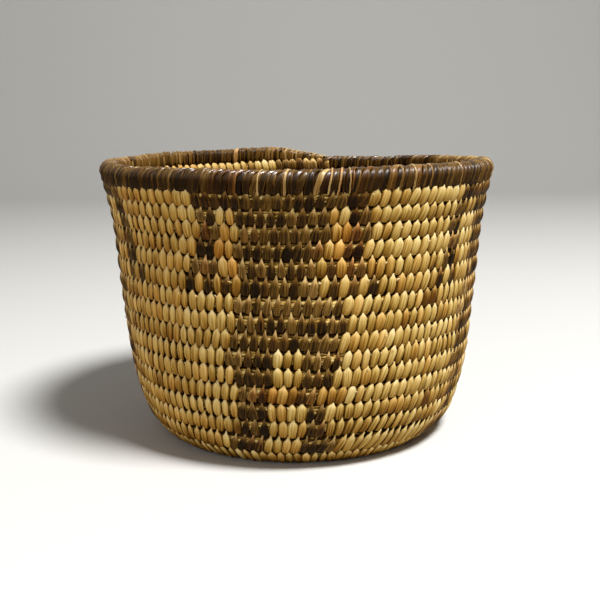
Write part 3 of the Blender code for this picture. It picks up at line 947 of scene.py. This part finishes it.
def willow_tones(turns):
    """Splints of one bunch are alike; some are browner or paler, a short run is reddish, and the lowest
    turns are darker, as painted shade.
    """
    count = len(turns)
    # Painted shade: the lowest turns are darker.
    foot = FOOT_SHADE * np.clip((FOOT_SHADE_TURN - turns) / FOOT_SHADE_TURN, 0.0, 1.0)
    tones = WILLOW_TONE - foot + random.normal(0.0, WILLOW_SPREAD, count)
    tones += BUNCH_STEP * np.sin(BUNCH_PACE * turns + BUNCH_SWING * np.sin(TURN * turns))
    odd = random.random(count)
    tones = np.where(odd < BROWNER_CHANCE, tones - BROWNER_STEP,
                     np.where(odd > PALER_CHANCE, tones + PALER_STEP, tones))
    tones = np.where(within(turns, RED_COURSE, RED_ANGLES), RED_TONE, tones)
    tones = np.where(within(turns, BROWN_COURSE, BROWN_ANGLES), tones - BROWN_STEP, tones)
    return np.clip(tones, *TONE_LIMITS)


def sew_wall(tree, willow, seed_pod):
    """Light stitches in two lengths, the dark stitches of each figure, and frayed split ends."""
    turns = stitch_turns(FOOT_TURN, RIM_TURN)
    owner, brown = dark_runs(turns)
    pale = stitch_pattern("pale_stitch", PALE_STITCH)
    dark = stitch_pattern("dark_stitch", DARK_STITCH)
    sliver = stitch_pattern("split_end", SPLIT_END)
    made = []
    for name, first, last in (("lower_wall_stitches", FOOT_TURN, HALFWAY),
                              ("upper_wall_stitches", HALFWAY, RIM_TURN)):
        chosen = turns[(owner < 0) & (turns >= first) & (turns < last)]
        piece = add_stitches(name, tree, chosen, willow_tones(chosen), stitch_sizes(chosen, 1.0),
                             {**WALL_HAND, "Stitch": pale, "Seed": 3, "Finish": willow}, 1.0)
        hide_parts("wall_coil")
        made.append(piece)
    for number in range(FIGURE_COUNT):
        chosen = turns[owner == number]
        brownness = brown[owner == number]
        tones = np.clip(BROWN_LIFT * brownness + random.normal(*FIGURE_TONES, len(chosen)), 0.0, 1.0)
        tones -= FEET_STEP * np.clip(FEET_STEP_TURN - chosen, 0.0, 1.0)
        sizes = stitch_sizes(chosen, 1.0 - BROWN_NARROWING * brownness)
        piece = add_stitches(f"figure_{number + 1}_stitches", tree, chosen, tones, sizes,
                             {**WALL_HAND, "Stitch": dark, "Seed": 11 + number, "Finish": seed_pod}, 1.0)
        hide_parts(f"figure_{number + 1}")
        made.append(piece)
    loose = turns[(turns > SPLIT_ENDS_FROM) & (owner < 0)]
    loose = np.sort(random.choice(loose, SPLIT_ENDS, replace=False))
    piece = add_stitches("split_ends", tree, loose, np.full(SPLIT_ENDS, SPLIT_TONE),
                         stitch_sizes(loose, 1.0),
                         {**SPLIT_HAND, "Stitch": sliver, "Seed": 31, "Finish": willow})
    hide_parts("wall_coil")
    made.append(piece)
    for pattern in (pale, dark, sliver):
        bpy.data.objects.remove(pattern, do_unlink=True)
    return made


def sew_base(tree, willow):
    """Light stitches from the knot to the heel."""
    turns = stitch_turns(START_TURN, FOOT_TURN)
    pale = stitch_pattern("base_stitch", PALE_STITCH)
    tones = np.clip(random.normal(*BASE_TONES, len(turns)), *TONE_LIMITS)
    piece = add_stitches("base_stitches", tree, turns, tones, stitch_sizes(turns, 1.0),
                         {**BASE_HAND, "Stitch": pale, "Seed": 5, "Finish": willow})
    bpy.data.objects.remove(pale, do_unlink=True)
    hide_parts("start_knot", "base_coil")
    return [piece]


def sew_rim(tree, seed_pod):
    """The last turn is bound all round over its top, with thin splints between the wide ones."""
    count = int(RIM_STITCHES * (RIM_END - RIM_TURN))
    wide = RIM_TURN + (np.arange(count) + 0.5) / RIM_STITCHES
    thin = wide + random.uniform(*THIN_SHIFTS, count) / RIM_STITCHES
    odd = np.array(ODD_BINDING)
    odd_turns = RIM_FRONT_TURN - odd[:, 0] / 360.0
    turns = np.concatenate((wide, thin, odd_turns))
    tones = np.interp(np.degrees(front_angle(turns)), BINDING_SHADE_ANGLES, BINDING_SHADES)
    tones += np.concatenate((random.normal(*WIDE_TONES, count), random.normal(*THIN_TONES, count),
                             odd[:, 2] - tones[2 * count:]))
    widths = np.concatenate((random.uniform(*WIDE_WIDTHS, count), random.uniform(*THIN_WIDTHS, count),
                             odd[:, 1]))
    reach = np.concatenate((np.full(count, 1.0), random.uniform(*THIN_REACHES, count),
                            np.full(len(odd), ODD_REACH)))
    size = RIM_RADIUS * rim_share(turns) * reach
    sizes = np.stack((size, TURN * section(turns)[0] / RIM_STITCHES * widths, size), axis=-1)
    pattern = binding_pattern()
    piece = add_stitches("rim_binding", tree, turns, np.clip(tones, 0.0, 1.0), sizes,
                         {**RIM_HAND, "Stitch": pattern, "Seed": 23, "Finish": seed_pod})
    bpy.data.objects.remove(pattern, do_unlink=True)
    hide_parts("rim_coil")
    return [piece]


# Stage

def add_stage():
    """A plain pale floor that bends up into a backdrop."""
    made, tree, shader = new_material("pale paper sweep")
    feed(tree, shader, {"Base Color": linear(PAPER_COLOUR), "Roughness": 0.9})
    profile = [(PAPER_FRONT, 0.0), (PAPER_REACH, 0.0)]
    profile += [(PAPER_REACH + PAPER_BEND * math.sin(a), PAPER_BEND - PAPER_BEND * math.cos(a))
                for a in np.linspace(0.0, math.pi / 2, BEND_STEPS + 1)[1:]]
    profile.append((PAPER_REACH + PAPER_BEND, PAPER_TOP))
    verts = [(side * PAPER_HALF_WIDTH, y, z) for y, z in profile for side in (-1.0, 1.0)]
    faces = [(2 * k, 2 * k + 1, 2 * k + 3, 2 * k + 2) for k in range(len(profile) - 1)]
    mesh = bpy.data.meshes.new("floor")
    mesh.from_pydata(verts, [], faces)
    mesh.shade_smooth()
    mesh.materials.append(made)
    floor = add_object("floor", mesh)


def add_light(name, place_at, size, power):
    """A round soft lamp that shines on the basket."""
    data = bpy.data.lights.new(name, "AREA")
    data.shape = "DISK"
    data.size = size
    data.energy = power
    lamp = add_object(name, data)
    lamp.location = place_at
    lamp.rotation_euler = (Vector(AIM) - Vector(place_at)).to_track_quat("-Z", "Y").to_euler()


def add_lights():
    """A key light at the front right, a weak fill from the left, and the room's own light."""
    add_light("key", KEY_PLACE, KEY_SIZE, KEY_POWER)
    add_light("fill", FILL_PLACE, FILL_SIZE, FILL_POWER)
    world = bpy.data.worlds.new("room light")
    world.use_nodes = True
    background = world.node_tree.nodes["Background"]
    feed(world.node_tree, background, {0: linear(ROOM_COLOUR), 1: ROOM_STRENGTH})
    bpy.context.scene.world = world


def add_camera():
    """The photograph's viewing angle: close, a little above the rim, turned slightly."""
    data = bpy.data.cameras.new("camera")
    data.lens = CAMERA_LENS
    data.sensor_width = CAMERA_SENSOR
    data.shift_x = CAMERA_SHIFT
    camera = add_object("camera", data)
    tip = Matrix.Rotation(CAMERA_TIP, 4, "X")
    roll = Matrix.Rotation(CAMERA_ROLL, 4, "Z")
    camera.matrix_world = Matrix.Translation(CAMERA_PLACE) @ tip @ roll
    bpy.context.scene.camera = camera


def main():
    """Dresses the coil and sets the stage."""
    bpy.context.scene.view_settings.view_transform = "Standard"
    willow = willow_look()
    seed_pod = seed_pod_look(
        "black seed-pod splint", roughness=0.55, shine=0.12, fade=0.62, contrast=1.2)
    rubbed = seed_pod_look(
        "black seed-pod splint rubbed smooth by hands",
        roughness=0.24, shine=0.95, fade=0.18, contrast=0.9)
    bundle = add_bundle(bundle_tree())
    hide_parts("start_knot", "base_coil", "wall_coil", "rim_coil")
    sewing = sewing_tree()
    made = [bundle]
    made += sew_base(sewing, willow)
    made += sew_wall(sewing, willow, seed_pod)
    made += sew_rim(sewing, rubbed)
    for piece in made:
        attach(piece, "root")
    add_stage()
    add_lights()
    add_camera()


main()
